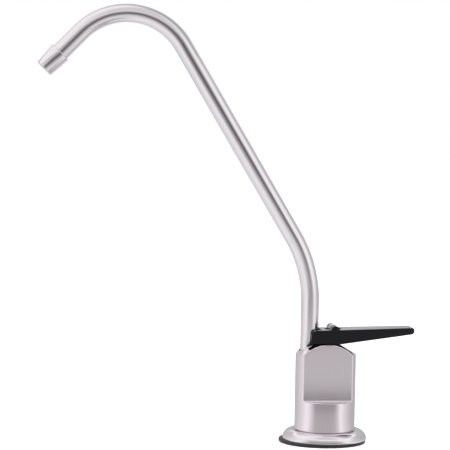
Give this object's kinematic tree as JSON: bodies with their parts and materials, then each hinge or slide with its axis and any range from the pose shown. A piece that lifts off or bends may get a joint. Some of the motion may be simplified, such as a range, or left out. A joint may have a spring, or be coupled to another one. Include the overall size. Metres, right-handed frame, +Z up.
{
  "type": "drinking water filter tap",
  "caption": "Deck mounted drinking water tap with a tall swivel gooseneck spout, a domed body with two flats and a press or lift lever.",
  "frame": {"origin": "on the shank's axis in the deck plane, which is the underside of the deck gasket", "axes": "+Z up along the shank's axis, +X towards the lever's tip, the spout reaches towards -X at rest, the flats face +Y and -Y"},
  "size_m": [0.2003, 0.046, 0.2878],
  "materials": {
    "satin_nickel": "satin nickel plating",
    "black_plastic": "semi gloss",
    "rubber": "matt",
    "brass": "turned",
    "steel": "bright stainless steel",
    "nylon": "moulded black"
  },
  "bodies": {
    "fixture": {"body": "satin_nickel", "body_gasket": "rubber", "escutcheon": "satin_nickel", "deck_gasket": "rubber", "threaded_shank": "brass", "shank_seal": "rubber", "valve_seat": "brass", "bonnet": "nylon", "bonnet_oring": "rubber", "stem_oring": "rubber", "spout_bushing": "nylon", "tube_nut": "brass", "ferrule": "brass"},
    "spout": {"spout_tube": "satin_nickel", "spout_fitting": "brass", "spout_oring_upper": "rubber", "spout_oring_lower": "rubber", "outlet_collar": "satin_nickel", "flow_straightener": "nylon"},
    "clamp_set": {"locating_washer": "nylon", "star_washer": "steel", "lock_nut": "brass"},
    "spring": {"valve_spring": "steel"},
    "stem": {"valve_stem": "steel", "seat_washer": "rubber"},
    "pin": {"cross_pin": "steel"},
    "lever": {"lever": "black_plastic"}
  },
  "joints": [
    {"name": "spout_swivel", "type": "hinge", "parent": "fixture", "child": "spout", "pos_m": [-0.009, 0, 0.04], "axis": [0, 0, 1], "continuous": true},
    {"name": "clamp_slide", "type": "slide", "parent": "fixture", "child": "clamp_set", "axis": [0, 0, 1], "range_m": [-0.015, 0.018]},
    {"name": "press_lift", "type": "slide", "parent": "fixture", "child": "spring", "axis": [0, 0, 1], "range_m": [0, 0.00105], "stiffness_N_per_m": 1000, "springref_m": -0.001, "deforming": ["valve_spring"]},
    {"name": "raise_lift", "type": "slide", "parent": "spring", "child": "stem", "axis": [0, 0, 1], "range_m": [0, 0.0039], "deforming": ["valve_spring"]},
    {"name": "lever_press", "type": "hinge", "parent": "stem", "child": "pin", "pos_m": [0.0036, 0, 0.0602], "axis": [0, 1, 0], "range_deg": [0, 12]},
    {"name": "lever_raise", "type": "hinge", "parent": "pin", "child": "lever", "pos_m": [0.0036, 0, 0.0602], "axis": [0, -1, 0], "range_deg": [0, 12]}
  ],
  "couplings": [
    {"joint": "lever_press", "follows": "press_lift", "rad_per_m": 200},
    {"joint": "lever_raise", "follows": "raise_lift", "rad_per_m": 53.75}
  ]
}
